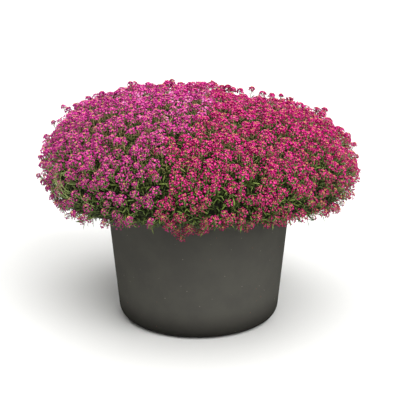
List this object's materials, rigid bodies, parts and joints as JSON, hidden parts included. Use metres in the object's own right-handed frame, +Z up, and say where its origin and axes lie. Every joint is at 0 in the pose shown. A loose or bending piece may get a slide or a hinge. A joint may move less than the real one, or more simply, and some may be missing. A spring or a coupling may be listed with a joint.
{
  "type": "potted sweet alyssum",
  "caption": "Low wide mound of magenta and rose sweet alyssum overhanging a round tapered dark grey planter.",
  "frame": {"origin": "the middle of the planter's flat base, on the surface that it stands on", "axes": "+Z up, -Y towards the picture's viewer, magenta plants on the -X side and rose plants on +X"},
  "size_m": [0.6073, 0.6006, 0.4479],
  "materials": {
    "planter_plastic": "dark grey rotomoulded planter, matt and faintly speckled",
    "soil": "dark moist potting soil with fibres and bark",
    "leaves": "narrow grey-green leaves and pale green stems, softly matt",
    "magenta_petals": "small magenta petals with a pale rim, softly matt",
    "rose_petals": "small deep rose petals, softly matt"
  },
  "bodies": {
    "root": {"planter": "planter_plastic", "soil": "soil", "plant_1_growth": "leaves", "plant_1_blossom": "rose_petals", "plant_2_growth": "leaves", "plant_2_blossom": "rose_petals", "plant_3_growth": "leaves", "plant_3_blossom": "magenta_petals", "plant_4_growth": "leaves", "plant_4_blossom": "magenta_petals", "plant_5_growth": "leaves", "plant_5_blossom": "magenta_petals", "plant_6_growth": "leaves", "plant_6_blossom": "rose_petals"}
  },
  "joints": []
}
